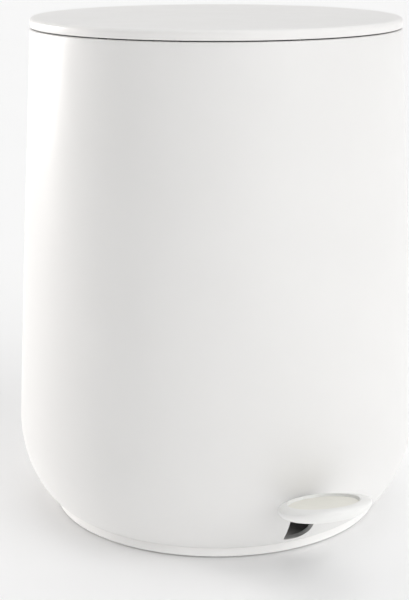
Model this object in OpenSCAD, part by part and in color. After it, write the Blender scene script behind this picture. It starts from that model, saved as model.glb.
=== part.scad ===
// Pedal bin with a barrel-shaped shell, a flat lid and a lift-out bucket.
// Millimetres. The origin is on the shell's axis at floor level, +Z is up,
// the pedal points to -Y and the lid's hinge is at +Y.

/* [Body] */
// Widest diameter of the shell
body_d = 185; // [180:1:192]
// Height of the widest ring above the floor
belly_z = 42; // [38:1:46]
// Diameter of the shell at its top rim
top_d = 166.2; // [165:0.2:168]
// Height of the shell's top rim
rim_z = 222.5; // [221:0.5:226]
// Diameter of the foot
foot_d = 153; // [152:1:154]
// Height of the foot below the shell
foot_h = 5; // [4.5:0.1:5.5]
// Thickness of the shell's wall
wall = 2.2; // [1.8:0.1:2.4]

/* [Lid] */
// Overall thickness of the lid
lid_h = 4.6; // [4.4:0.1:6]
// Seam between the shell's rim and the lid
lid_gap = 0.5; // [0.4:0.1:0.8]
// How far the lid opens, in degrees
lid_open_deg = 80; // [70:1:80]

/* [Pedal] */
// Width of the pedal dish across the bin
dish_w = 40; // [38:0.5:43]
// Length of the pedal dish away from the bin
dish_l = 34; // [33:0.2:35]
// Distance from the shell's axis to the dish's centre
dish_reach = 110; // [110:0.1:112]
// Height of the dish's rim at its centre
dish_z = 37.2; // [37:0.1:38]
// Upward tilt of the dish's outer edge, in degrees
dish_tilt = 13; // [12:1:15]
// Width of the slot that the pedal arm passes through
slot_w = 12.4; // [11.6:0.1:12.8]
// Sideways offset of the slot from the pedal's centreline
slot_x = 2; // [1.6:0.1:2.2]
// Height of the slot's lower end above the floor
slot_z = 8.2; // [8:0.1:9]

/* [Bucket] */
// Outer diameter of the bucket below its flange
bucket_d = 136; // [130:1:137]
// Outer diameter of the bucket's floor
bucket_floor_d = 124; // [116:1:126]
// Height of the bucket's underside above the floor
bucket_z = 43; // [43:1:50]
// Thickness of the bucket's wall
bucket_wall = 1.6; // [1.2:0.1:2]

/* [Hidden] */
$fn = 96;

eps = 0.05;
body_r = body_d / 2;
top_r = top_d / 2;
foot_r = foot_d / 2;

// Shell flange, foot ring and base plate
flange_inner_r = 61;
flange_t = 2.4;
floor_t = 2.4;
floor_low_z = foot_h - floor_t;
plate_r = 68.4;
foot_wall = 8;
foot_lip_r = 67.4;
foot_lip_t = 1.1;
ground_gap = 0.8;
grip_inner_r = 70.5;
grip_outer_r = 74.5;
grip_h = 2.2;
screw_ring_r = 64.4;
screw_angles = [45, 135, 225, 315];

// Lid
lid_z = rim_z + lid_gap;
lid_top_z = lid_z + lid_h;
lid_skin = 1.8;
lid_under_z = lid_top_z - lid_skin;
lid_edge_r = 1.7;
lid_rim_w = 2.5;
lid_crown = 0.35;
liner_t = 2;

// Hinge, with its pin just outside the shell
hinge_y = 88.6;
hinge_z = rim_z - 3.5;
hinge_pin_r = 2;
knuckle_r = 4.2;
knuckle_half_w = 8;
ear_in = 8.5;
ear_out = 13;
running_gap = 0.06;

// Linkage: a lever under the floor of the bucket lifts a rod that swings the lid
rod_r = 1.5;
rod_y = 72.5;
axle_y = -32;
axle_r = 2.5;
lever_rear = 104.9;
lever_rear_z = 12;
cam_arm = hinge_y - rod_y;
half_rise = cam_arm * tan(lid_open_deg / 2);
pedal_deg = 2 * asin(half_rise / lever_rear);
axle_z = lever_rear_z + half_rise;
rod_top_z = hinge_z - half_rise;
lever_tail_y = axle_y + lever_rear * cos(pedal_deg / 2);

lever_half_w = 3.5;
lever_sheet = 1.4;
lever_hub_r = 6;
lever_tail_r = 4;
bushing_r = 3.6;
bushing_half_l = 4.2;
block_in = 5;
block_out = 11;
block_r = 6;
rib_t = 1.6;
rib_l = 64;
rib_h = 3.5;
clip_x = 11.4;
clip_t = 0.8;

// Dish: a shallow bowl, widest below its rim, with a nearly round recess.
// Each outline is [half width, half length, shift towards the shell]
dish_t = 6.4;
dish_segments = 56;
dish_widest_z = -1.6;
dish_widest = [dish_w / 2, dish_l / 2, 0];
dish_bottom = [11, 9, 0];
recess = [15.1, 15, 0.8];
pad_edge = [14.6, 14.5, 0.8];
pad_top = -1.1;
pad_bottom = -1.9;
dish_screw_places = [3.2, 9.2];

// Collar and bucket
ledge_z = 210;
ledge_t = 2;
ledge_inner_r = 69.4;
collar_low_z = 200;
collar_top_z = rim_z - 0.4;
collar_t = 1.8;
collar_lip_r = 75;
mechanism_half_w = 14;
rim_dip_half_w = 11;
rim_dip_z = 203;
bucket_flange_z = 212;
bucket_flange_r = 73.4;
bail_z = 214.8;
bail_r = 71;
bail_wire_r = 1.5;
grip_r = 2.6;
grip_deg = 30;
ear_half_w = 3.6;

shell_white = [0.93, 0.93, 0.92];
inner_grey = [0.72, 0.73, 0.73];
steel = [0.7, 0.7, 0.72];
dark_rubber = [0.2, 0.2, 0.2];

// ---- Shell outline -------------------------------------------------------

// Radius of the rounded lower part at angle a: 0 at the foot, 90 at the belly
function under_point(a) = [
    foot_r + (body_r - foot_r) * pow(sin(a), 1.5),
    belly_z - (belly_z - foot_h) * cos(a)
];

// Radius of the wall above the belly at height z
function wall_r(z) =
    body_r - (body_r - top_r) * pow((z - belly_z) / (rim_z - belly_z), 1.1);

// Outer outline from the foot to the rim, as [radius, height]
under_steps = 28;
wall_steps = 36;
outline = concat(
    [for (i = [0 : under_steps]) under_point(90 * i / under_steps)],
    [for (i = [1 : wall_steps])
        let (z = belly_z + (rim_z - belly_z) * i / wall_steps) [wall_r(z), z]]
);

// Unit normal of the outline at point i, pointing to the inside
function inward(i) =
    let (
        last = len(outline) - 1,
        d = outline[min(i + 1, last)] - outline[max(i - 1, 0)],
        l = norm(d)
    ) [-d[1] / l, d[0] / l];

// The same outline moved inwards by t
function inset_outline(t) = [for (i = [0 : len(outline) - 1]) outline[i] + t * inward(i)];

function reversed(list) = [for (i = [len(list) - 1 : -1 : 0]) list[i]];

// Inner surface between the bottom flange and the rim
flange_top_z = foot_h + flange_t;
inner_outline = [for (p = inset_outline(wall)) if (p[1] > flange_top_z && p[1] < rim_z - 1) p];

module tube(r_out, r_in, z_low, z_high) {
    translate([0, 0, z_low])
        difference() {
            cylinder(r = r_out, h = z_high - z_low);
            translate([0, 0, -1]) cylinder(r = r_in, h = z_high - z_low + 2);
        }
}

// A cylinder along X, centred on the given point
module x_pin(r, half_l, y, z) {
    translate([-half_l, y, z]) rotate([0, 90, 0]) cylinder(r = r, h = 2 * half_l);
}

// Extrudes an outline drawn in [y, z] from x_low to x_high
module side_plate(x_low, x_high) {
    translate([x_low, 0, 0]) rotate([90, 0, 90]) linear_extrude(x_high - x_low) children();
}

// ---- Body ----------------------------------------------------------------

// Slot for the pedal arm, with a small round at its lower left and a large one at its lower right
module slot_outline() {
    slot_top = 29;
    left_round = 1.8;
    right_round = 7;
    left = slot_x - slot_w / 2;
    right = slot_x + slot_w / 2;
    translate([left, slot_z + right_round]) square([slot_w, slot_top - slot_z - right_round]);
    translate([left + left_round, slot_z])
        square([slot_w - left_round - right_round, right_round + eps]);
    translate([left, slot_z + left_round]) square([left_round + eps, right_round]);
    translate([left + left_round, slot_z + left_round]) circle(r = left_round);
    translate([right - right_round, slot_z + right_round]) circle(r = right_round);
}

module outer_shell() {
    rim_round = 0.7;
    shell_profile = concat(
        [[flange_inner_r, foot_h]],
        [for (p = outline) if (p[1] < rim_z - rim_round) p],
        [[top_r + 0.04, rim_z - rim_round], [top_r - 0.2, rim_z - 0.2], [top_r - rim_round, rim_z]],
        [[top_r - wall + 0.5, rim_z], [top_r - wall, rim_z - 0.5]],
        reversed(inner_outline),
        [[inner_outline[0][0], flange_top_z], [flange_inner_r, flange_top_z]]
    );
    color(shell_white)
        difference() {
            rotate_extrude() polygon(shell_profile);
            // Slot for the pedal arm
            translate([0, -foot_r + 8, 0]) rotate([90, 0, 0]) linear_extrude(40) slot_outline();
            // Holes for the hinge rivets
            for (x = [-rivet_x, rivet_x])
                translate([x, foot_r - 8, rivet_z]) rotate([-90, 0, 0]) cylinder(r = rivet_r, h = 20);
            // Pilot holes for the base screws
            for (a = screw_angles)
                rotate([0, 0, a]) translate([screw_ring_r, 0, foot_h - 1]) cylinder(r = 1.4, h = 3.1);
        }
}

module foot_ring() {
    edge = 0.6;
    inner = foot_r - foot_wall;
    color(shell_white)
        difference() {
            rotate_extrude() polygon([
                [foot_lip_r, floor_low_z - foot_lip_t], [inner, floor_low_z - foot_lip_t],
                [inner, ground_gap], [foot_r - edge, ground_gap], [foot_r, ground_gap + edge],
                [foot_r, foot_h], [inner + eps, foot_h], [inner + eps, floor_low_z],
                [foot_lip_r, floor_low_z]
            ]);
            // Groove for the non-slip ring
            tube(grip_outer_r + eps, grip_inner_r - eps, ground_gap - 1, grip_h);
        }
}

module base_plate() {
    color([0.25, 0.25, 0.26])
        difference() {
            union() {
                translate([0, 0, floor_low_z]) cylinder(r = plate_r, h = floor_t);
                // Bearing blocks for the pedal axle
                for (side = [-1, 1])
                    side_plate(
                        side > 0 ? block_in : -block_out,
                        side > 0 ? block_out : -block_in
                    ) {
                        translate([axle_y - block_r, foot_h - 1])
                            square([2 * block_r, axle_z - foot_h + 1]);
                        translate([axle_y, axle_z]) circle(r = block_r);
                    }
                // Stiffening ribs along the lever's path
                for (x = [-block_out - rib_t, block_out])
                    translate([x, axle_y - rib_l / 4, foot_h - 1]) cube([rib_t, rib_l, rib_h + 1]);
            }
            // Axle bores
            x_pin(axle_r, block_out + 1, axle_y, axle_z);
            // Screw holes
            for (a = screw_angles)
                rotate([0, 0, a]) translate([screw_ring_r, 0, 0]) cylinder(r = 1.6, h = foot_h + 1);
        }
}

module non_slip_ring() {
    color(dark_rubber) tube(grip_outer_r, grip_inner_r, 0, grip_h);
}

module base_screws() {
    head_h = 1.3;
    color(steel)
        for (a = screw_angles)
            rotate([0, 0, a]) translate([screw_ring_r, 0, 0])
                difference() {
                    union() {
                        translate([0, 0, floor_low_z - head_h]) cylinder(r = 2.6, h = head_h);
                        translate([0, 0, floor_low_z - 0.1]) cylinder(r = 1.4, h = 4.5);
                    }
                    // Cross recess
                    for (turn = [0, 90])
                        rotate([0, 0, turn]) translate([-1.4, -0.3, 0]) cube([2.8, 0.6, floor_low_z - 0.6]);
                }
}

// Rubber stops: one under the lever's tail at rest, one under its front arm when pressed
rest_stop_y = 52;
press_stop_y = -55;
function tail_z(y) = axle_z - (y - axle_y) * tan(pedal_deg / 2);

module lever_buffers() {
    stop_r = 4.5;
    color(dark_rubber) {
        translate([0, rest_stop_y, foot_h]) cylinder(r = stop_r, h = tail_z(rest_stop_y) - 4.8 - foot_h);
        translate([0, press_stop_y, foot_h]) cylinder(r = stop_r, h = 7.6);
    }
}

module pedal_axle() {
    color(steel) x_pin(axle_r, clip_x + clip_t + 0.8, axle_y, axle_z);
}

module axle_clips() {
    color(steel)
        for (side = [-1, 1])
            translate([side > 0 ? clip_x : -clip_x - clip_t, axle_y, axle_z]) rotate([0, 90, 0])
                difference() {
                    cylinder(r = 4.8, h = clip_t);
                    translate([0, 0, -1]) cylinder(r = axle_r, h = clip_t + 2);
                    translate([-8, -1.7, -1]) cube([8, 3.4, clip_t + 2]);
                }
}

// Two brackets inside the back wall that keep the rod upright
guide_heights = [72, 160];
guide_h = 8;

module rod_guides() {
    color(inner_grey)
        for (z = guide_heights)
            difference() {
                intersection() {
                    translate([-6, rod_y - 3.4, z]) cube([12, 20, guide_h]);
                    cylinder(r = wall_r(z + guide_h) - wall - eps, h = rim_z);
                }
                translate([0, rod_y, z - 1]) cylinder(r = rod_r + running_gap, h = guide_h + 2);
            }
}

module top_collar() {
    fit = wall + 0.1;
    low_r = wall_r(collar_low_z) - fit;
    mid_r = wall_r(ledge_z) - fit;
    high_r = wall_r(collar_top_z) - fit - 0.1;
    color(inner_grey)
        difference() {
            rotate_extrude() polygon([
                [low_r - collar_t, collar_low_z], [low_r, collar_low_z], [mid_r, ledge_z],
                [high_r, collar_top_z - 0.5], [high_r - 0.5, collar_top_z],
                [collar_lip_r + 0.6, collar_top_z], [collar_lip_r, collar_top_z - 0.6],
                [collar_lip_r, ledge_z], [ledge_inner_r, ledge_z],
                [ledge_inner_r, ledge_z - ledge_t], [low_r - collar_t, ledge_z - ledge_t - 3]
            ]);
            // Gap at the back for the rod and the hinge arm
            translate([-mechanism_half_w, 0, 0]) cube([2 * mechanism_half_w, 100, 300]);
        }
}

module lid_bumpers() {
    bumper_ring_r = 78;
    color(dark_rubber)
        for (a = [-150, -90, -30])
            rotate([0, 0, a]) translate([bumper_ring_r, 0, collar_top_z]) {
                cylinder(r = 1.9, h = 1);
                translate([0, 0, 1]) cylinder(r1 = 1.9, r2 = 1.3, h = 0.6);
            }
}

rivet_x = 10.5;
rivet_z = 207.5;
rivet_r = 1.6;

module hinge_bracket() {
    plate_back_y = 88.2;
    plate_low_z = 201.5;
    plate_top_z = 213;
    color(steel)
        difference() {
            union() {
                translate([-ear_out - 2, 78, plate_low_z])
                    cube([2 * ear_out + 4, plate_back_y - 78, plate_top_z - plate_low_z]);
                for (side = [-1, 1])
                    side_plate(side > 0 ? ear_in : -ear_out, side > 0 ? ear_out : -ear_in) {
                        translate([hinge_y, hinge_z]) circle(r = knuckle_r);
                        polygon([
                            [82, plate_top_z - 1], [82, hinge_z], [hinge_y, hinge_z + 1],
                            [hinge_y + knuckle_r, hinge_z], [plate_back_y, plate_top_z - 3]
                        ]);
                    }
            }
            // Follows the shell's surface
            rotate_extrude() polygon([
                [0, 190], [wall_r(190) + eps, 190], [wall_r(203) + eps, 203],
                [wall_r(213) + eps, 213], [wall_r(rim_z) + eps + 0.2, rim_z + 5], [0, rim_z + 5]
            ]);
            x_pin(hinge_pin_r, ear_out + 1, hinge_y, hinge_z);
            for (x = [-rivet_x, rivet_x])
                translate([x, 70, rivet_z]) rotate([-90, 0, 0]) cylinder(r = rivet_r, h = 30);
        }
}

module hinge_rivets() {
    color(steel)
        for (x = [-rivet_x, rivet_x]) {
            translate([x, 81, rivet_z]) rotate([-90, 0, 0]) cylinder(r = rivet_r, h = 7.3);
            translate([x, 88.2, rivet_z]) rotate([-90, 0, 0]) cylinder(r1 = 2.9, r2 = 1.7, h = 1.1);
            translate([x, 79.6, rivet_z]) rotate([-90, 0, 0]) cylinder(r = 2.6, h = 1.5);
        }
}

module hinge_pin() {
    color(steel) {
        x_pin(hinge_pin_r, ear_out + 0.6, hinge_y, hinge_z);
        translate([ear_out, hinge_y, hinge_z]) rotate([0, 90, 0]) cylinder(r = 3.1, h = 1.2);
    }
}

// ---- Pedal ---------------------------------------------------------------

// Places its children in the dish's own frame: rim plane at z = 0, outwards along -Y
module at_dish() {
    translate([0, -dish_reach, dish_z]) rotate([-dish_tilt, 0, 0]) children();
}

// Height of the lever's top face under the dish, at distance y
function seat_z(y) =
    dish_z - dish_t / cos(dish_tilt) - (y + dish_reach) * tan(dish_tilt);

arm_h = 4.2;
arm_y = -90;
arm_top_z = 26.8;
seat_y = -99;
seat_end_y = -dish_reach + 0.8;

module lever_outline() {
    polygon([
        [lever_tail_y, lever_rear_z - lever_tail_r], [lever_tail_y, lever_rear_z + lever_tail_r],
        [axle_y, axle_z + 4.8], [axle_y - 12, arm_top_z], [arm_y, arm_top_z],
        [seat_y, seat_z(seat_y)], [seat_end_y, seat_z(seat_end_y)],
        [seat_end_y, seat_z(seat_end_y) - lever_sheet], [seat_y + 2, seat_z(seat_y) - arm_h],
        [arm_y, arm_top_z - arm_h], [axle_y - 16, arm_top_z - arm_h - 0.3], [axle_y, axle_z - 5]
    ]);
    translate([axle_y, axle_z]) circle(r = lever_hub_r);
    translate([lever_tail_y, lever_rear_z]) circle(r = lever_tail_r);
}

module pedal_lever() {
    cheek_in = lever_half_w - lever_sheet;
    color(steel)
        difference() {
            side_plate(-lever_half_w, lever_half_w) lever_outline();
            // Open underside of the folded channel
            side_plate(-cheek_in, cheek_in) translate([0, -lever_sheet]) difference() {
                lever_outline();
                translate([seat_end_y - 5, 0]) square([7.5, 60]);
            }
            side_plate(-cheek_in, cheek_in) translate([axle_y - 2 * lever_hub_r, axle_z - 20])
                square([4 * lever_hub_r, 20 + 3]);
            // Open end for the rod's shoe
            translate([-cheek_in, lever_tail_y - 7, 0]) cube([2 * cheek_in, 20, 40]);
            x_pin(bushing_r, lever_half_w + 1, axle_y, axle_z);
            x_pin(rod_r, lever_half_w + 1, lever_tail_y, lever_rear_z);
            at_dish() for (y = dish_screw_places)
                translate([0, y, -dish_t - 6]) cylinder(r = 1.2, h = 8);
        }
}

// Closed surface through a stack of ellipse rings, each [half width, half length, shift, height]
module ellipse_stack(rings) {
    n = dish_segments;
    points = [for (ring = rings, i = [0 : n - 1])
        [ring[0] * cos(360 * i / n), ring[1] * sin(360 * i / n) + ring[2], ring[3]]];
    last = (len(rings) - 1) * n;
    sides = [for (k = [0 : len(rings) - 2], i = [0 : n - 1], half = [0, 1])
        let (a = k * n + i, b = k * n + (i + 1) % n)
        half == 0 ? [a, b + n, b] : [a, a + n, b + n]];
    bottom = [[for (i = [0 : n - 1]) i]];
    top = [[for (i = [n - 1 : -1 : 0]) last + i]];
    polyhedron(points = points, faces = concat(sides, bottom, top));
}

// An outline at height z, between outlines p (s = 0) and q (s = 1), then made wider by t
function ring_at(p, q, s, z, t = 0) =
    concat(p * (1 - s) + q * s + [t, t, 0], [z]);

dish_rings = concat(
    // Rounded underside from the flat bottom to the widest ring
    [for (a = [0 : 15 : 90])
        ring_at(dish_bottom, dish_widest, sin(a), dish_widest_z - (dish_t + dish_widest_z) * cos(a))],
    // Sloping rim up to the recess
    [for (a = [18 : 18 : 90])
        ring_at(dish_widest, recess, 1 - cos(a), dish_widest_z * (1 - sin(a)))],
    // Wall and floor of the recess
    [ring_at(recess, recess, 0, -0.4, -0.3), ring_at(pad_edge, pad_edge, 0, pad_top, 0.15)],
    [ring_at(pad_edge, pad_edge, 0, pad_bottom)]
);

module pedal_dish() {
    color(shell_white)
        difference() {
            at_dish() ellipse_stack(dish_rings);
            at_dish() for (y = dish_screw_places)
                translate([0, y, -dish_t - 1]) cylinder(r = 1.2, h = 3.6);
        }
}

module pedal_pad() {
    color([0.87, 0.87, 0.83])
        at_dish() ellipse_stack([
            ring_at(pad_edge, pad_edge, 0, pad_bottom, -0.1),
            ring_at(pad_edge, pad_edge, 0, pad_top - 0.2),
            ring_at(pad_edge, pad_edge, 0, pad_top, -0.3)
        ]);
}

module pedal_screws() {
    color(steel)
        at_dish() for (y = dish_screw_places)
            translate([0, y, -dish_t]) {
                translate([0, 0, -lever_sheet - 0.1]) cylinder(r = 1.2, h = lever_sheet + 2.5);
                translate([0, 0, -lever_sheet - 1]) cylinder(r = 1.9, h = 0.95);
            }
}

module lever_bushing() {
    color(shell_white)
        difference() {
            x_pin(bushing_r, bushing_half_l, axle_y, axle_z);
            x_pin(axle_r + running_gap, bushing_half_l + 1, axle_y, axle_z);
        }
}

module lever_pin() {
    color(steel) x_pin(rod_r, lever_half_w + 0.8, lever_tail_y, lever_rear_z);
}

// ---- Push rod ------------------------------------------------------------

rod_foot_z = lever_rear_z + 6;
rod_bend_r = 3;
rod_end_x = 8.2;

module push_rod() {
    color(steel) {
        translate([0, rod_y, rod_foot_z]) cylinder(r = rod_r, h = rod_top_z - rod_bend_r - rod_foot_z);
        // Upper end bends over to reach through the hinge arm's slot
        translate([rod_bend_r, rod_y, rod_top_z - rod_bend_r]) rotate([90, 0, 180])
            rotate_extrude(angle = 90) translate([rod_bend_r, 0]) circle(r = rod_r);
        translate([rod_bend_r, rod_y, rod_top_z]) rotate([0, 90, 0])
            cylinder(r = rod_r, h = rod_end_x - rod_bend_r);
    }
}

module rod_shoe() {
    tongue_half_w = 1.75;
    tongue_half_l = 4;
    pin_play = 0.6;
    hole_r = rod_r + 0.1;
    color(inner_grey)
        difference() {
            union() {
                translate([-tongue_half_w, rod_y - tongue_half_l, lever_rear_z - 3.3])
                    cube([2 * tongue_half_w, 2 * tongue_half_l, 9]);
                translate([0, rod_y, lever_rear_z + 5]) cylinder(r = 3.3, h = 8);
            }
            for (side = [-1, 1])
                x_pin(hole_r, tongue_half_w + 1, rod_y + side * pin_play, lever_rear_z);
            translate([-tongue_half_w - 1, rod_y - pin_play, lever_rear_z - hole_r])
                cube([2 * tongue_half_w + 2, 2 * pin_play, 2 * hole_r]);
            translate([0, rod_y, rod_foot_z]) cylinder(r = rod_r, h = 20);
        }
}

module rod_clip() {
    color(steel)
        translate([cheek_out + 0.5, rod_y, rod_top_z]) rotate([0, 90, 0])
            difference() {
                cylinder(r = 3.2, h = 0.8);
                translate([0, 0, -1]) cylinder(r = rod_r, h = 3);
            }
}

// ---- Lid -----------------------------------------------------------------

module lid_shell() {
    lid_profile = concat(
        [[0, lid_under_z], [top_r - lid_rim_w, lid_under_z], [top_r - lid_rim_w, lid_z]],
        [[top_r - 0.5, lid_z], [top_r - 0.1, lid_z + 0.4]],
        [for (a = [0 : 15 : 90])
            [top_r - lid_edge_r * (1 - cos(a)), lid_top_z - lid_crown - lid_edge_r * (1 - sin(a))]],
        [for (i = [1 : 4])
            let (s = i / 4) [(top_r - lid_edge_r) * (1 - s), lid_top_z - lid_crown * pow(1 - s, 2)]]
    );
    color(shell_white)
        difference() {
            rotate_extrude() polygon(lid_profile);
            // Notch where the hinge arm leaves the lid
            translate([-knuckle_half_w - 0.1, 70, lid_z - 1])
                cube([2 * knuckle_half_w + 0.2, 20, lid_under_z - lid_z + 1]);
            for (p = lid_screw_places)
                translate([p[0], p[1], lid_under_z - 1]) cylinder(r = lid_screw_r, h = 2);
        }
}

arm_plate_half_w = 14;
arm_plate_y = 46;
arm_plate_end_y = 77;
arm_low_z = rim_z + 0.75;
lid_screw_r = 1.1;
lid_screw_places = [[-9, 52], [9, 52], [-9, 70], [9, 70]];
liner_low_z = lid_under_z - liner_t;

module lid_liner() {
    liner_r = top_r - lid_rim_w - 0.2;
    color(inner_grey)
        difference() {
            union() {
                translate([0, 0, liner_low_z]) cylinder(r = liner_r, h = liner_t);
                // Shallow stiffening rings
                tube(62, 60.6, liner_low_z - 0.8, liner_low_z + 0.5);
                tube(34, 32.6, liner_low_z - 0.8, liner_low_z + 0.5);
            }
            // Pocket for the hinge arm
            translate([-arm_plate_half_w - 0.2, arm_plate_y - 0.2, liner_low_z - 2])
                cube([2 * arm_plate_half_w + 0.4, 60, 10]);
        }
}

cheek_in_x = 3;
cheek_out = 6;
slot_half_w = rod_r + 1.05;
lug_r = 4.5;

module lid_hinge() {
    slot_far = norm([cam_arm, half_rise]) - 0.6;
    slot_near = cam_arm + 0.6;
    slot_deg = 180 + lid_open_deg / 2;
    color(inner_grey)
        difference() {
            union() {
                // Plate screwed under the lid
                translate([-arm_plate_half_w, arm_plate_y, arm_low_z])
                    cube([2 * arm_plate_half_w, arm_plate_end_y - arm_plate_y, lid_under_z - arm_low_z]);
                // Gooseneck over the rim and the knuckle on the pin
                side_plate(-knuckle_half_w, knuckle_half_w) {
                    translate([hinge_y, hinge_z]) circle(r = knuckle_r);
                    polygon([
                        [arm_plate_end_y - 1, arm_low_z], [hinge_y - knuckle_r, arm_low_z],
                        [hinge_y - knuckle_r, hinge_z], [hinge_y, hinge_z],
                        [hinge_y + knuckle_r, hinge_z], [hinge_y + 3.4, hinge_z + 3.6],
                        [hinge_y - 3, lid_under_z - 0.1], [arm_plate_end_y - 1, lid_under_z - 0.1]
                    ]);
                }
                // Lug that the rod's end works in
                side_plate(cheek_in_x, cheek_out) {
                    translate([hinge_y, hinge_z]) rotate(slot_deg) translate([slot_far, 0])
                        circle(r = lug_r);
                    translate([hinge_y, hinge_z]) polygon([
                        [-8.8, 4.5], [-8.8, -10.5], [-12, -16.2], [-20, -13.4], [-20, -2], [-25, 4.5]
                    ]);
                }
            }
            x_pin(hinge_pin_r + running_gap, knuckle_half_w + 1, hinge_y, hinge_z);
            // Slot along the radius from the pin, for the rod's end
            side_plate(cheek_in_x - 1, cheek_out + 1) translate([hinge_y, hinge_z]) rotate(slot_deg) {
                translate([slot_near, 0]) circle(r = slot_half_w);
                translate([slot_far, 0]) circle(r = slot_half_w);
                translate([slot_near, -slot_half_w]) square([slot_far - slot_near, 2 * slot_half_w]);
            }
            for (p = lid_screw_places)
                translate([p[0], p[1], arm_low_z - 1]) cylinder(r = lid_screw_r, h = 8);
        }
}

module lid_screws() {
    head_h = 1.2;
    color(steel)
        for (p = lid_screw_places)
            translate([p[0], p[1], arm_low_z]) {
                cylinder(r = lid_screw_r, h = lid_under_z - arm_low_z + 0.9);
                translate([0, 0, -head_h]) cylinder(r = 2.2, h = head_h);
            }
}

// ---- Bucket --------------------------------------------------------------

module inner_bucket() {
    out_r = bucket_d / 2;
    low_r = bucket_floor_d / 2;
    round_r = 6;
    bucket_profile = concat(
        [[0, bucket_z]],
        [for (a = [0 : 15 : 90])
            [low_r - round_r + round_r * sin(a), bucket_z + round_r - round_r * cos(a)]],
        [[out_r, bucket_flange_z - 2], [bucket_flange_r, bucket_flange_z - 2]],
        [[bucket_flange_r, bucket_flange_z], [out_r - bucket_wall, bucket_flange_z]],
        [for (a = [90 : -15 : 0])
            [low_r - round_r + (round_r - bucket_wall) * sin(a),
             bucket_z + round_r - (round_r - bucket_wall) * cos(a)]],
        [[0, bucket_z + bucket_wall]]
    );
    color([0.8, 0.81, 0.81])
        difference() {
            union() {
                rotate_extrude() polygon(bucket_profile);
                // Ears that hold the handle's ends
                for (side = [-1, 1])
                    side_plate(
                        side > 0 ? out_r - bucket_wall : -out_r,
                        side > 0 ? out_r : -out_r + bucket_wall
                    ) {
                        translate([-ear_half_w, bucket_flange_z - 2])
                            square([2 * ear_half_w, bail_z - bucket_flange_z + 2]);
                        translate([0, bail_z]) circle(r = ear_half_w);
                    }
            }
            x_pin(bail_wire_r + running_gap, out_r + 2, 0, bail_z);
            // The flange is cut away behind, and the rim dips where the lug swings over it
            translate([-mechanism_half_w, out_r - 0.8, bucket_flange_z - 3])
                cube([2 * mechanism_half_w, 20, 10]);
            translate([-rim_dip_half_w, bucket_d / 4, rim_dip_z])
                cube([2 * rim_dip_half_w, bucket_d / 2, 20]);
        }
}

module bucket_handle() {
    color(steel) {
        translate([0, 0, bail_z]) rotate([0, 0, 180])
            rotate_extrude(angle = 180) translate([bail_r, 0]) circle(r = bail_wire_r);
        for (side = [-1, 1])
            translate([side * (bucket_d / 2 - bucket_wall - 1.5), 0, bail_z]) rotate([0, side * 90, 0])
                cylinder(r = bail_wire_r, h = bail_r - bucket_d / 2 + bucket_wall + 1.5 + bail_wire_r);
    }
}

module handle_grip() {
    color(inner_grey)
        translate([0, 0, bail_z]) rotate([0, 0, 270 - grip_deg / 2])
            rotate_extrude(angle = grip_deg) translate([bail_r, 0]) difference() {
                circle(r = grip_r);
                circle(r = bail_wire_r);
            }
}

outer_shell();
foot_ring();
base_plate();
non_slip_ring();
base_screws();
lever_buffers();
pedal_axle();
axle_clips();
rod_guides();
top_collar();
lid_bumpers();
hinge_bracket();
hinge_rivets();
hinge_pin();
pedal_lever();
pedal_dish();
pedal_pad();
pedal_screws();
lever_bushing();
lever_pin();
push_rod();
rod_shoe();
rod_clip();
lid_shell();
lid_liner();
lid_hinge();
lid_screws();
inner_bucket();
bucket_handle();
handle_grip();
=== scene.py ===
"""Looks for the pedal bin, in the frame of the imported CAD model: the shell's axis is Z, the
pedal points to -Y and the hinge is at +Y. The camera, floor and lights are in metres. The
outlines and sizes of the pieces are in millimetres, and MM turns them into metres."""

import bmesh
import bpy
from math import cos, hypot, pi, radians, sin
from mathutils import Matrix, Vector


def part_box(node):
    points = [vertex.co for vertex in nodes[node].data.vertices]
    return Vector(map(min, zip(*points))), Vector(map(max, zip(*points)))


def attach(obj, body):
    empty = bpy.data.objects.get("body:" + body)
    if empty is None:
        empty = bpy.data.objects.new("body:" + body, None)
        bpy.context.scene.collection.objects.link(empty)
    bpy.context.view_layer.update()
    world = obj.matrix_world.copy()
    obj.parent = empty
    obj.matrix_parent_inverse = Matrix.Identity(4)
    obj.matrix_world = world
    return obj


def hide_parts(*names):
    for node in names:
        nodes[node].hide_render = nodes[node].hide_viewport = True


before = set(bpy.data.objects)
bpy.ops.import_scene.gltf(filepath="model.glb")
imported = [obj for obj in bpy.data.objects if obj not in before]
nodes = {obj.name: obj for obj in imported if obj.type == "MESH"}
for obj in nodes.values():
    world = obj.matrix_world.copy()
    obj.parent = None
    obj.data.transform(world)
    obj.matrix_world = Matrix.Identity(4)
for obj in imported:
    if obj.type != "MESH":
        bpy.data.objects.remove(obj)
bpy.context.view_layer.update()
scene = bpy.context.scene

MM = 0.001


# ---- Camera ---------------------------------------------------------------

CAMERA_AZIMUTH = -23.8
CAMERA_DISTANCE = 0.6348
CAMERA_HEIGHT = 0.2705
CAMERA_PITCH = 13.41
CAMERA_LENS = 84.0
CAMERA_SHIFT = (-0.0195, -0.0833)


def make_camera():
    data = bpy.data.cameras.new("camera")
    camera = bpy.data.objects.new("camera", data)
    scene.collection.objects.link(camera)
    a = radians(CAMERA_AZIMUTH)
    camera.location = (sin(a) * CAMERA_DISTANCE, -cos(a) * CAMERA_DISTANCE, CAMERA_HEIGHT)
    camera.rotation_euler = (radians(90 - CAMERA_PITCH), 0, a)
    data.lens = CAMERA_LENS
    data.sensor_width = 36
    data.shift_x, data.shift_y = CAMERA_SHIFT
    data.clip_start = 0.01
    scene.camera = camera


make_camera()


# ---- Materials ------------------------------------------------------------

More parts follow.
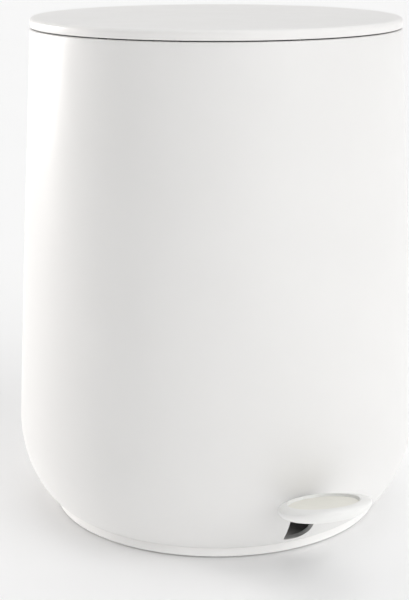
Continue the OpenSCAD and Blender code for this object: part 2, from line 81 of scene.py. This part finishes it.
class Nodes:
    """A short way to write a node material."""

    def __init__(self, name):
        self.material = bpy.data.materials.new(name)
        self.material.use_nodes = True
        self.tree = self.material.node_tree
        self.shader = self.tree.nodes["Principled BSDF"]

    def add(self, kind, **values):
        node = self.tree.nodes.new(kind)
        for key, value in values.items():
            node.inputs[key.replace("_", " ")].default_value = value
        return node

    def link(self, out, into):
        self.tree.links.new(out, into)

    def set(self, **values):
        for key, value in values.items():
            self.shader.inputs[key.replace("_", " ")].default_value = value

    def position(self):
        return self.add("ShaderNodeTexCoord").outputs["Object"]

    def noise(self, scale, detail=3.0, roughness=0.55):
        node = self.add("ShaderNodeTexNoise", Scale=scale, Detail=detail, Roughness=roughness)
        self.link(self.position(), node.inputs["Vector"])
        return node.outputs["Fac"]

    def ramp(self, value, low, high):
        """Maps a noise value, which is mostly near its middle, to a blend of two colours."""
        node = self.add("ShaderNodeValToRGB")
        first, last = node.color_ramp.elements
        first.position, last.position = 0.35, 0.65
        first.color, last.color = (*low, 1), (*high, 1)
        self.link(value, node.inputs["Fac"])
        return node.outputs["Color"]

    def spread(self, value, low, high):
        """Maps a noise value to the range low..high."""
        node = self.add("ShaderNodeMapRange", From_Min=0.3, From_Max=0.7, To_Min=low, To_Max=high)
        self.link(value, node.inputs["Value"])
        return node.outputs["Result"]

    def bump(self, value, strength, distance, normal=None):
        node = self.add("ShaderNodeBump", Strength=strength, Distance=distance)
        self.link(value, node.inputs["Height"])
        if normal is not None:
            self.link(normal, node.inputs["Normal"])
        return node.outputs["Normal"]

    def use(self, color=None, roughness=None, normal=None):
        if color is not None:
            self.link(color, self.shader.inputs["Base Color"])
        if roughness is not None:
            self.link(roughness, self.shader.inputs["Roughness"])
        if normal is not None:
            self.link(normal, self.shader.inputs["Normal"])
        return self.material


def moulded_plastic(name, color, rough, grain=0.35, orange_peel=0.25):
    """Satin moulded or coated surface: a fine grain over a slow orange peel."""
    n = Nodes(name)
    dulled = tuple(c * 0.985 for c in color)
    tint = n.ramp(n.noise(26, 4), dulled, color)
    gloss = n.spread(n.noise(90, 5), rough - 0.035, rough + 0.035)
    peel = n.bump(n.noise(420, 2, 0.4), orange_peel, 0.00004)
    fine = n.bump(n.noise(4200, 2, 0.6), grain, 0.000012, peel)
    n.set(IOR=1.46)
    return n.use(tint, gloss, fine)


def plated_metal(name, color, rough, stretch=(1, 1, 1)):
    """Zinc-plated steel: faint drawn lines, clouded plating and dulled patches."""
    n = Nodes(name)
    mapping = n.add("ShaderNodeMapping", Scale=stretch)
    n.link(n.position(), mapping.inputs["Vector"])
    lines = n.add("ShaderNodeTexNoise", Scale=900.0, Detail=4.0)
    n.link(mapping.outputs["Vector"], lines.inputs["Vector"])
    dark = tuple(c * 0.8 for c in color)
    tint = n.ramp(n.noise(160, 5), dark, color)
    gloss = n.spread(n.noise(300, 4), rough - 0.07, rough + 0.1)
    normal = n.bump(lines.outputs["Fac"], 0.2, 0.00002)
    n.set(Metallic=1.0)
    return n.use(tint, gloss, normal)


def soft_rubber(name, color, rough, bloom=1.12):
    """Matte elastomer with a pebbled skin and a paler bloom in patches."""
    n = Nodes(name)
    pale = tuple(min(1, c * bloom + 0.004) for c in color)
    tint = n.ramp(n.noise(220, 5), color, pale)
    gloss = n.spread(n.noise(500, 3), rough - 0.06, rough + 0.06)
    normal = n.bump(n.noise(2600, 3), 0.5, 0.00003)
    n.set(IOR=1.5)
    return n.use(tint, gloss, normal)


shell_white = moulded_plastic("shell_white", (0.748, 0.742, 0.732), 0.36)
# Painted light: the lid's white is lighter than the shell's white of the same plastic, so the lid's top
# reads brighter.
lid_white = moulded_plastic("lid_white", (0.78, 0.772, 0.76), 0.36)
# Painted light: the foot's white is lighter than the shell's white, to lift the shade that falls on it
# under the belly.
foot_white = moulded_plastic("foot_white", (0.89, 0.883, 0.87), 0.40)
pedal_white = moulded_plastic("pedal_white", (0.80, 0.80, 0.785), 0.30, grain=0.2)
pad_cream = soft_rubber("pad_cream", (0.79, 0.78, 0.72), 0.55, bloom=1.02)
inner_grey = moulded_plastic("inner_grey", (0.45, 0.46, 0.46), 0.42)
bucket_grey = moulded_plastic("bucket_grey", (0.56, 0.57, 0.57), 0.38)
steel = plated_metal("plated_steel", (0.62, 0.63, 0.65), 0.32)
drawn_steel = plated_metal("drawn_steel", (0.66, 0.67, 0.69), 0.26, stretch=(1, 1, 0.05))
floor_grey = moulded_plastic("floor_grey", (0.05, 0.042, 0.037), 0.55)
black_rubber = soft_rubber("black_rubber", (0.02, 0.02, 0.02), 0.6)

CAD_MATERIALS = {
    "base_plate": floor_grey, "base_screws": steel, "lever_buffers": black_rubber,
    "pedal_axle": steel, "axle_clips": steel, "rod_guides": inner_grey, "top_collar": inner_grey,
    "lid_bumpers": black_rubber, "hinge_bracket": steel, "hinge_rivets": steel,
    "hinge_pin": steel, "pedal_lever": steel, "pedal_screws": steel,
    "lever_bushing": inner_grey, "lever_pin": steel, "push_rod": drawn_steel,
    "rod_shoe": inner_grey, "rod_clip": steel, "lid_liner": inner_grey,
    "lid_hinge": inner_grey, "lid_screws": steel, "bucket_handle": drawn_steel,
}

# Width in millimetres of the softened edges of the CAD solids that show
EDGE_WIDTHS = {
    "base_plate": 0.3, "rod_guides": 0.4, "top_collar": 0.3,
    "hinge_rivets": 0.2, "hinge_pin": 0.3, "pedal_lever": 0.3, "pedal_axle": 0.3,
    "lever_buffers": 0.5, "lever_bushing": 0.2, "rod_shoe": 0.3, "lid_liner": 0.3,
    "lid_hinge": 0.4, "lid_screws": 0.2, "pedal_screws": 0.2, "base_screws": 0.15,
    "axle_clips": 0.15, "rod_clip": 0.15, "lever_pin": 0.2,
}


def soften_edges(obj, width):
    """Rounds an object's corners by width, in millimetres."""
    weld = obj.modifiers.new("weld", "WELD")
    weld.merge_threshold = 0.002 * MM
    flatten = obj.modifiers.new("flatten", "DECIMATE")
    flatten.decimate_type = "DISSOLVE"
    flatten.angle_limit = radians(0.5)
    bevel = obj.modifiers.new("edges", "BEVEL")
    bevel.width = width * MM
    bevel.segments = 3
    bevel.limit_method = "ANGLE"
    bevel.angle_limit = radians(38)
    bevel.harden_normals = True


def dress_cad_nodes():
    for name, material in CAD_MATERIALS.items():
        mesh = nodes[name].data
        mesh.materials.clear()
        mesh.materials.append(material)
    for name, width in EDGE_WIDTHS.items():
        soften_edges(nodes[name], width)


dress_cad_nodes()


# ---- Making pieces --------------------------------------------------------

def arc(r, z, radius, start, end, steps=6):
    """Points of a circular arc in the [radius, height] plane; angles in degrees."""
    angles = [radians(start + (end - start) * i / steps) for i in range(steps + 1)]
    return [(r + radius * cos(a), z + radius * sin(a)) for a in angles]


def revolve(outline, segments=192):
    """Turns a closed [radius, height] outline in millimetres about Z."""
    bm = bmesh.new()
    rings = []
    for i in range(segments):
        a = 2 * pi * i / segments
        rings.append([bm.verts.new((r * MM * cos(a), r * MM * sin(a), z * MM)) for r, z in outline])
    count = len(outline)
    for i, ring in enumerate(rings):
        following = rings[(i + 1) % segments]
        for k in range(count):
            m = (k + 1) % count
            if outline[k][0] > 0 or outline[m][0] > 0:
                bm.faces.new((ring[k], ring[m], following[m], following[k]))
    bmesh.ops.remove_doubles(bm, verts=bm.verts, dist=0.001 * MM)
    bmesh.ops.recalc_face_normals(bm, faces=bm.faces)
    return bm


def loft(rings):
    """Closed skin through rings of equal count, each a list of points, capped at both ends."""
    bm = bmesh.new()
    skin = [[bm.verts.new(p) for p in ring] for ring in rings]
    for low, high in zip(skin, skin[1:]):
        for i in range(len(low)):
            j = (i + 1) % len(low)
            bm.faces.new((low[i], low[j], high[j], high[i]))
    bm.faces.new(reversed(skin[0]))
    bm.faces.new(skin[-1])
    bmesh.ops.recalc_face_normals(bm, faces=bm.faces)
    return bm


def prism(outline, axis, low, high):
    """Extrudes an outline in millimetres along X or Y between two places on that axis."""
    def at(p, t):
        return Vector((t, p[0], p[1]) if axis == "X" else (p[0], t, p[1])) * MM
    return loft([[at(p, low) for p in outline], [at(p, high) for p in outline]])


def upright_box(half_w, low, high):
    """Rectangle in [x, z] for a cutter, even about the bin's middle."""
    return [(-half_w, low), (half_w, low), (half_w, high), (-half_w, high)]


def make_piece(name, bm, material, body, stands_for, sharp=35):
    """Turns a bmesh into a smooth-shaded piece that keeps edges sharper than that angle."""
    for face in bm.faces:
        face.smooth = True
    for edge in bm.edges:
        edge.smooth = len(edge.link_faces) != 2 or edge.calc_face_angle(0) < radians(sharp)
    mesh = bpy.data.meshes.new(name)
    bm.to_mesh(mesh)
    bm.free()
    mesh.materials.append(material)
    piece = bpy.data.objects.new(name, mesh)
    scene.collection.objects.link(piece)
    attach(piece, body)
    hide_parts(stands_for)
    return piece


def scratch_object(bm):
    """An object that rides on no body, for a cut or for the floor."""
    mesh = bpy.data.meshes.new("scratch")
    bm.to_mesh(mesh)
    bm.free()
    obj = bpy.data.objects.new("scratch", mesh)
    scene.collection.objects.link(obj)
    return obj


def cut(bm, *cutters):
    """bm with the cutters' volumes taken away."""
    solid = scratch_object(bm)
    tools = [scratch_object(cutter) for cutter in cutters]
    for tool in tools:
        step = solid.modifiers.new("cut", "BOOLEAN")
        step.operation = "DIFFERENCE"
        step.solver = "EXACT"
        step.object = tool
    evaluated = solid.evaluated_get(bpy.context.evaluated_depsgraph_get())
    result = bmesh.new()
    result.from_mesh(evaluated.to_mesh())
    evaluated.to_mesh_clear()
    for obj in [solid, *tools]:
        mesh = obj.data
        bpy.data.objects.remove(obj)
        bpy.data.meshes.remove(mesh)
    return result


# ---- Body -----------------------------------------------------------------

SHELL_LOW, SHELL_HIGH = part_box("outer_shell")
LID_LOW, LID_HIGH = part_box("lid_shell")
FOOT_LOW, FOOT_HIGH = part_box("foot_ring")
body_r = SHELL_HIGH.x / MM
rim_z = SHELL_HIGH.z / MM
foot_h = SHELL_LOW.z / MM
foot_r = FOOT_HIGH.x / MM
top_r = LID_HIGH.x / MM
lid_z = LID_LOW.z / MM
lid_top_z = LID_HIGH.z / MM
belly_z = 42
wall = 2.2
flange_inner_r = 61
flange_t = 2.4
floor_t = 2.4
foot_wall = 8
plate_play = 0.05

# How far cutters reach in front of the shell and behind the bucket and lid
PAST_FRONT, PAST_BACK = 110, 90


def under_point(a):
    """The rounded lower part at angle a: 0 at the foot, 90 at the belly."""
    swell = sin(radians(a)) ** 1.5
    return (foot_r + (body_r - foot_r) * swell, belly_z - (belly_z - foot_h) * cos(radians(a)))


def wall_r(z):
    """Radius of the wall above the belly at height z."""
    return body_r - (body_r - top_r) * ((z - belly_z) / (rim_z - belly_z)) ** 1.1


def inset(outline, t):
    """The outline moved inwards by t."""
    last = len(outline) - 1
    moved = []
    for i, (r, z) in enumerate(outline):
        dr = outline[min(i + 1, last)][0] - outline[max(i - 1, 0)][0]
        dz = outline[min(i + 1, last)][1] - outline[max(i - 1, 0)][1]
        length = hypot(dr, dz)
        moved.append((r - t * dz / length, z + t * dr / length))
    return moved


def slot_outline():
    """The pedal's slot in [x, z]: a small round at the lower left, a large one at the lower right."""
    slot_x, slot_w, low, high = 2, 12.4, 8.2, 29
    left, right = slot_x - slot_w / 2, slot_x + slot_w / 2
    left_round, right_round = 1.8, 7.0
    return (arc(left + left_round, low + left_round, left_round, 180, 270, 8)
            + arc(right - right_round, low + right_round, right_round, 270, 360, 16)
            + [(right, high), (left, high)])


def make_shell():
    under_steps, wall_steps = 48, 60
    rim_round, mouth_round = 0.7, 0.5
    outside = [under_point(90 * i / under_steps) for i in range(under_steps + 1)]
    heights = [belly_z + (rim_z - belly_z) * i / wall_steps for i in range(1, wall_steps + 1)]
    outside += [(wall_r(z), z) for z in heights]
    flange_top = foot_h + flange_t
    inside = [p for p in inset(outside, wall) if flange_top < p[1] < rim_z - 1]
    outline = [(flange_inner_r, foot_h)]
    outline += [p for p in outside if p[1] < rim_z - rim_round - 0.2]
    outline += arc(top_r - rim_round, rim_z - rim_round, rim_round, 0, 90)
    outline += arc(top_r - wall + mouth_round, rim_z - mouth_round, mouth_round, 90, 180, 4)
    outline += inside[::-1]
    outline += [(inside[0][0], flange_top), (flange_inner_r, flange_top)]
    slot = prism(slot_outline(), "Y", -PAST_FRONT, -foot_r + foot_wall)
    body = cut(revolve(outline, 256), slot)
    make_piece("shell_body", body, shell_white, "base", "outer_shell")


def make_foot():
    inner, low, floor_low = foot_r - foot_wall, FOOT_LOW.z / MM, foot_h - floor_t
    lip_r, lip_z = 67.4, 1.5
    edge, top_edge = 0.8, 0.25
    groove_out, groove_in, groove_z = 74.55, 70.45, 2.2
    outline = [(lip_r, lip_z), (inner, lip_z), (inner, low), (groove_in, low), (groove_in, groove_z)]
    outline += [(groove_out, groove_z), (groove_out, low)]
    outline += arc(foot_r - edge, low + edge, edge, -90, 0)
    outline += arc(foot_r - top_edge, foot_h - top_edge, top_edge, 0, 90, 3)
    outline += [(inner + plate_play, foot_h), (inner + plate_play, floor_low), (lip_r, floor_low)]
    make_piece("foot", revolve(outline, 256), foot_white, "base", "foot_ring")


def make_non_slip_ring():
    """Rubber ring with fine grooves in the face it stands on."""
    inner, outer, high, edge = 70.5, 74.5, 2.2, 0.3
    grooves, depth, mouth_half, floor_half = 3, 0.45, 0.3, 0.15
    outline = arc(inner + edge, edge, edge, 180, 270, 3)
    for k in range(1, grooves + 1):
        middle = inner + (outer - inner) * k / (grooves + 1)
        outline += [(middle - mouth_half, 0), (middle - floor_half, depth)]
        outline += [(middle + floor_half, depth), (middle + mouth_half, 0)]
    outline += arc(outer - edge, edge, edge, -90, 0, 3)
    outline += [(outer, high), (inner, high)]
    ring = revolve(outline)
    make_piece("grip_ring", ring, black_rubber, "base", "non_slip_ring")


# ---- Lid ------------------------------------------------------------------

def make_lid():
    skin, rim_w, edge, crown, low_edge = 1.8, 2.5, 1.7, 0.35, 0.45
    under = lid_top_z - skin
    outline = [(0, under), (top_r - rim_w, under), (top_r - rim_w, lid_z)]
    outline += arc(top_r - low_edge, lid_z + low_edge, low_edge, -90, 0, 5)
    outline += arc(top_r - edge, lid_top_z - crown - edge, edge, 0, 90, 12)
    steps = 24
    for i in range(1, steps + 1):
        s = i / steps
        outline.append(((top_r - edge) * (1 - s), lid_top_z - crown * (1 - s) ** 2))
    notch_half_w, notch_y = 8.1, 70
    notch = prism(upright_box(notch_half_w, lid_z - 1, under), "Y", notch_y, PAST_BACK)
    lid = cut(revolve(outline, 256), notch)
    make_piece("lid_top", lid, lid_white, "lid", "lid_shell")


# ---- Pedal ----------------------------------------------------------------

DISH_REACH, DISH_Z, DISH_TILT = 110, 37.2, 13
DISH_CENTRE = Vector((0, -DISH_REACH, DISH_Z)) * MM
DISH_PLACE = Matrix.Translation(DISH_CENTRE) @ Matrix.Rotation(radians(-DISH_TILT), 4, "X")
DISH_DEPTH = 6.4
DISH_WIDEST_Z = -1.6
PAD_TOP = -1.1
PAD_BOTTOM = -1.9

# Outlines of the dish: half width, half length and shift towards the shell
DISH_FLAT = (11, 9, 0)
DISH_WIDEST = (19.95, 16.92, 0)
RECESS = (15.1, 15, 0.8)
PAD_EDGE = (14.6, 14.5, 0.8)
CENTRE = (1, 1, 0.8)


def dish_ring(first, second, s, z, grow=0.0, count=160):
    """A ring at height z of the dish's frame, between two outlines and then made wider by grow."""
    wide, long, shift = (p + (q - p) * s for p, q in zip(first, second))
    angles = [2 * pi * i / count for i in range(count)]
    places = [((wide + grow) * cos(a), (long + grow) * sin(a) + shift, z) for a in angles]
    return [DISH_PLACE @ (Vector(place) * MM) for place in places]


def make_dish():
    """Rounded underside, sloping rim and a recess for the pad."""
    wall_lean, lip, fillet = 0.2, 0.35, 0.3
    rings = [dish_ring(CENTRE, CENTRE, 0, -DISH_DEPTH)]
    for i in range(19):
        a = radians(5 * i)
        z = DISH_WIDEST_Z - (DISH_DEPTH + DISH_WIDEST_Z) * cos(a)
        rings.append(dish_ring(DISH_FLAT, DISH_WIDEST, sin(a), z))
    for i in range(1, 17):
        a = radians(90 * i / 16)
        slope = 1 - cos(a)
        z = DISH_WIDEST_Z * (1 - sin(a))
        rings.append(dish_ring(DISH_WIDEST, RECESS, slope, z, wall_lean * slope))
    # Rounded lip down into the recess, then a fillet onto its floor
    for i in range(1, 7):
        a = radians(15 * i)
        rings.append(dish_ring(RECESS, RECESS, 0, -lip * (1 - cos(a)), wall_lean - lip * sin(a)))
    for i in range(6):
        a = radians(18 * i)
        grow = fillet - wall_lean * sin(a)
        rings.append(dish_ring(PAD_EDGE, PAD_EDGE, 0, PAD_TOP + fillet * cos(a), grow))
    rings.append(dish_ring(PAD_EDGE, PAD_EDGE, 0, PAD_BOTTOM))
    rings.append(dish_ring(CENTRE, CENTRE, 0, PAD_BOTTOM))
    make_piece("dish", loft(rings), pedal_white, "pedal", "pedal_dish", sharp=50)


def make_pad():
    """Inlay with a soft edge; its top sinks slightly towards the middle."""
    edge_drop, edge_in, reach_out, sink = 0.25, 0.35, 0.05, 0.28
    rings = [dish_ring(CENTRE, CENTRE, 0, PAD_BOTTOM)]
    rings.append(dish_ring(PAD_EDGE, PAD_EDGE, 0, PAD_BOTTOM, -0.1))
    for i in range(7):
        a = radians(15 * i)
        z = PAD_TOP - edge_drop * (1 - sin(a))
        rings.append(dish_ring(PAD_EDGE, PAD_EDGE, 0, z, reach_out - edge_in * (1 - cos(a))))
    for i in range(1, 10):
        s = i / 10
        z = PAD_TOP - sink * (1 - (1 - s) ** 2)
        rings.append(dish_ring(PAD_EDGE, CENTRE, s, z, (reach_out - edge_in) * (1 - s)))
    make_piece("pad", loft(rings), pad_cream, "pedal", "pedal_pad", sharp=60)


# ---- Bucket ---------------------------------------------------------------

BAIL_R, BAIL_Z, BAIL_WIRE_R = 71, 214.8, 1.5
BUCKET_R, BUCKET_LOW_R, BUCKET_WALL = 68, 62, 1.6
FLANGE_Z, FLANGE_T = 212, 2


def bucket_wall(bottom):
    """The bucket turned about Z, with a raised middle in its floor and a step below its flange."""
    flange_r, low_round, flange_round, mouth_round = 73.4, 6, 0.6, 0.8
    floor_rise, rise_r = 1.2, 38
    step_in, step_drop, corner = 0.8, 12, 0.6
    under = FLANGE_Z - FLANGE_T
    outline = [(0, bottom + floor_rise), (rise_r, bottom + floor_rise), (rise_r + 1, bottom)]
    outline += arc(BUCKET_LOW_R - low_round, bottom + low_round, low_round, -90, 0, 14)
    outline += [(BUCKET_R - step_in, under - step_drop), (BUCKET_R - 0.1, under - step_drop + 0.6)]
    outline += [(BUCKET_R, under - corner), (BUCKET_R + corner, under)]
    outline += arc(flange_r - flange_round, under + flange_round, flange_round, -90, 0, 5)
    outline += arc(flange_r - flange_round, FLANGE_Z - flange_round, flange_round, 0, 90, 5)
    mouth_r = BUCKET_R - BUCKET_WALL + mouth_round
    outline += arc(mouth_r, FLANGE_Z - mouth_round, mouth_round, 90, 180, 6)
    outline += arc(BUCKET_LOW_R - low_round, bottom + low_round, low_round - BUCKET_WALL, 0, -90, 14)
    inside = bottom + BUCKET_WALL
    outline += [(rise_r + 1, inside), (rise_r, inside + floor_rise), (0, inside + floor_rise)]
    return revolve(outline, 224)


def bucket_ear(side):
    """Ear that holds one end of the bail."""
    ear_r, bore_r = 3.6, BAIL_WIRE_R + 0.06
    inner, outer = sorted((side * (BUCKET_R - BUCKET_WALL), side * BUCKET_R))
    foot_z = FLANGE_Z - FLANGE_T
    outline = [(ear_r, foot_z), *arc(0, BAIL_Z, ear_r, 0, 180, 18), (-ear_r, foot_z)]
    bore = prism(arc(0, BAIL_Z, bore_r, 0, 345, 23), "X", side * (BUCKET_R - 8), side * (BUCKET_R + 7))
    return cut(prism(outline, "X", inner, outer), bore)


def make_bucket():
    """Bucket with a gap in its flange behind for the rod, and a dip in its rim for the hinge's lug."""
    wall_ring = bucket_wall(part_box("inner_bucket")[0].z / MM)
    gap_half_w, dip_half_w, dip_z, flange_root = 14, 11, 203, BUCKET_R - 0.8
    gap = upright_box(gap_half_w, FLANGE_Z - 3, FLANGE_Z + 7)
    flange_gap = prism(gap, "Y", flange_root, PAST_BACK)
    rim_dip = prism(upright_box(dip_half_w, dip_z, dip_z + 20), "Y", BUCKET_R / 2, PAST_BACK)
    bucket = cut(wall_ring, flange_gap, rim_dip)
    for side in (-1, 1):
        ear = bucket_ear(side)
        scratch = bpy.data.meshes.new("ear")
        ear.to_mesh(scratch)
        ear.free()
        bucket.from_mesh(scratch)
        bpy.data.meshes.remove(scratch)
    make_piece("bucket", bucket, bucket_grey, "bucket", "inner_bucket")


def make_grip():
    """Sleeve on the bail with finger grooves, along an arc about the shell's axis."""
    grip_r, half_angle, along, around = 2.6, 15, 96, 32
    groove_depth, plain_from, end_from, end_round = 0.3, 0.86, 0.94, 0.5

    def ring(angle, r):
        a = radians(270 + angle)
        out = Vector((cos(a), sin(a), 0))
        places = [2 * pi * i / around for i in range(around)]
        return [(out * (BAIL_R + r * cos(t)) + Vector((0, 0, BAIL_Z + r * sin(t)))) * MM for t in places]

    rings = [ring(-half_angle, BAIL_WIRE_R)]
    for i in range(along + 1):
        angle = -half_angle + 2 * half_angle * i / along
        s = abs(angle) / half_angle
        end = end_round * max(0, (s - end_from) / (1 - end_from)) ** 2
        groove = groove_depth * (0.5 - 0.5 * cos(angle * pi)) if s < plain_from else 0
        rings.append(ring(angle, grip_r - end - groove))
    rings.append(ring(half_angle, BAIL_WIRE_R))
    make_piece("grip", loft(rings), inner_grey, "handle", "handle_grip", sharp=50)


make_shell()
make_foot()
make_non_slip_ring()
make_lid()
make_dish()
make_pad()
make_bucket()
make_grip()


# ---- Floor and light ------------------------------------------------------

def make_floor(bounce):
    """A pale sweep that throws a little more light up at the object than the camera sees."""
    n = Nodes("floor_pale")
    tint = n.ramp(n.noise(3, 3), (0.895, 0.895, 0.895), (0.9, 0.9, 0.9))
    n.set(Roughness=0.9, Emission_Color=(1, 1, 1, 1))
    n.use(tint)
    seen = n.add("ShaderNodeLightPath").outputs["Is Camera Ray"]
    glow = n.add("ShaderNodeMapRange", To_Min=bounce, To_Max=0)
    n.link(seen, glow.inputs["Value"])
    n.link(glow.outputs["Result"], n.shader.inputs["Emission Strength"])
    half = 40
    bm = bmesh.new()
    corners = [(-half, -half), (half, -half), (half, half), (-half, half)]
    bm.faces.new([bm.verts.new((x, y, 0)) for x, y in corners])
    floor = scratch_object(bm)
    floor.name = "floor"
    floor.data.materials.append(n.material)


def sun_light(name, azimuth, elevation, spread, power, color=(1, 1, 1)):
    """A far soft light at an azimuth measured from the camera's, so that the floor stays even."""
    data = bpy.data.lights.new(name, "SUN")
    data.energy = power
    data.angle = radians(spread)
    data.color = color
    light = bpy.data.objects.new(name, data)
    scene.collection.objects.link(light)
    a, e = radians(CAMERA_AZIMUTH + azimuth), radians(elevation)
    back = Vector((sin(a) * cos(e), -cos(a) * cos(e), sin(e)))
    light.location = back
    light.rotation_mode = "QUATERNION"
    light.rotation_quaternion = (-back).to_track_quat("-Z", "Y")


def make_world(front, back, zenith):
    """A studio: dark behind the camera, a bright backdrop behind the object, light overhead.
    Past the floor's edge the camera sees an even pale wall."""
    world = bpy.data.worlds.new("studio")
    world.use_nodes = True
    tree = world.node_tree
    place = tree.nodes.new("ShaderNodeTexCoord")
    split = tree.nodes.new("ShaderNodeSeparateXYZ")
    facing = tree.nodes.new("ShaderNodeVectorMath")
    facing.operation = "DOT_PRODUCT"
    a = radians(CAMERA_AZIMUTH)
    facing.inputs[1].default_value = (-sin(a), cos(a), 0)
    around = tree.nodes.new("ShaderNodeMapRange")
    around.inputs["From Min"].default_value = -0.5
    around.inputs["From Max"].default_value = 0.7
    around.inputs["To Min"].default_value = front
    around.inputs["To Max"].default_value = back
    height = tree.nodes.new("ShaderNodeMapRange")
    height.inputs["To Max"].default_value = zenith
    seen = tree.nodes.new("ShaderNodeLightPath")
    shown = tree.nodes.new("ShaderNodeMapRange")
    shown.inputs["To Max"].default_value = 0.92
    background = tree.nodes["Background"]
    background.inputs["Color"].default_value = (1, 1, 1, 1)
    tree.links.new(place.outputs["Generated"], split.inputs["Vector"])
    tree.links.new(place.outputs["Generated"], facing.inputs[0])
    tree.links.new(facing.outputs["Value"], around.inputs["Value"])
    tree.links.new(split.outputs["Z"], height.inputs["Value"])
    tree.links.new(around.outputs["Result"], height.inputs["To Min"])
    tree.links.new(seen.outputs["Is Camera Ray"], shown.inputs["Value"])
    tree.links.new(height.outputs["Result"], shown.inputs["To Min"])
    tree.links.new(shown.outputs["Result"], background.inputs["Strength"])
    scene.world = world


make_floor(0.22)
make_world(0, 0.62, 0.8)
sun_light("key_right", 48, 30, 60, 1.5)
sun_light("edge_left", -118, 3, 16, 2.85, color=(1, 0.965, 0.94))
sun_light("top", 160, 75, 40, 0.4)
sun_light("fill_front", 15, 3, 16, 0.07)
scene.view_settings.view_transform = "Standard"
